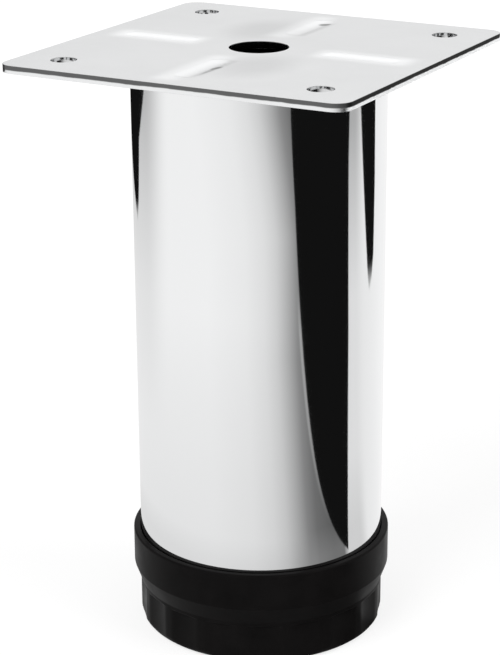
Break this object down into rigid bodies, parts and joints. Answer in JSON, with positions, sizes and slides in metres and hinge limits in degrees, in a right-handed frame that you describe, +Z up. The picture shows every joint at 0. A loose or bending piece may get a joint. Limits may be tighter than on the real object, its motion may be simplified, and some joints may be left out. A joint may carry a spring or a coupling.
{
  "type": "adjustable cabinet leg",
  "caption": "Round chromed cabinet leg with a square screw-on plate and a black fluted foot that a spindle moves out to level the cabinet.",
  "frame": {"origin": "on the floor, in the middle of the foot's sole, with the foot fully in", "axes": "+Z up along the tube to the mounting plate; X and Y along the sides of the square plate"},
  "size_m": [0.087, 0.087, 0.144],
  "materials": {
    "plate_steel": "satin zinc plating",
    "tube_chrome": "bright chrome plating",
    "plug_plastic": "moulded",
    "spindle_steel": "bright zinc plating",
    "foot_plastic": "moulded, semi-matt black"
  },
  "bodies": {
    "leg": {"mounting_plate": "plate_steel", "leg_tube": "tube_chrome", "tube_plug": "plug_plastic", "spindle_nut": "spindle_steel"},
    "foot": {"foot": "foot_plastic", "retaining_ring": "spindle_steel"},
    "spindle": {"spindle": "spindle_steel"}
  },
  "joints": [
    {"name": "foot_slide", "type": "slide", "parent": "leg", "child": "foot", "axis": [0, 0, -1], "range_m": [0, 0.008]},
    {"name": "spindle_turn", "type": "hinge", "parent": "foot", "child": "spindle", "pos_m": [0, 0, 0.02], "axis": [0, 0, -1], "range_deg": [0, 1920]}
  ],
  "couplings": [
    {"joint": "foot_slide", "follows": "spindle_turn", "m_per_rad": 0.00023873}
  ]
}
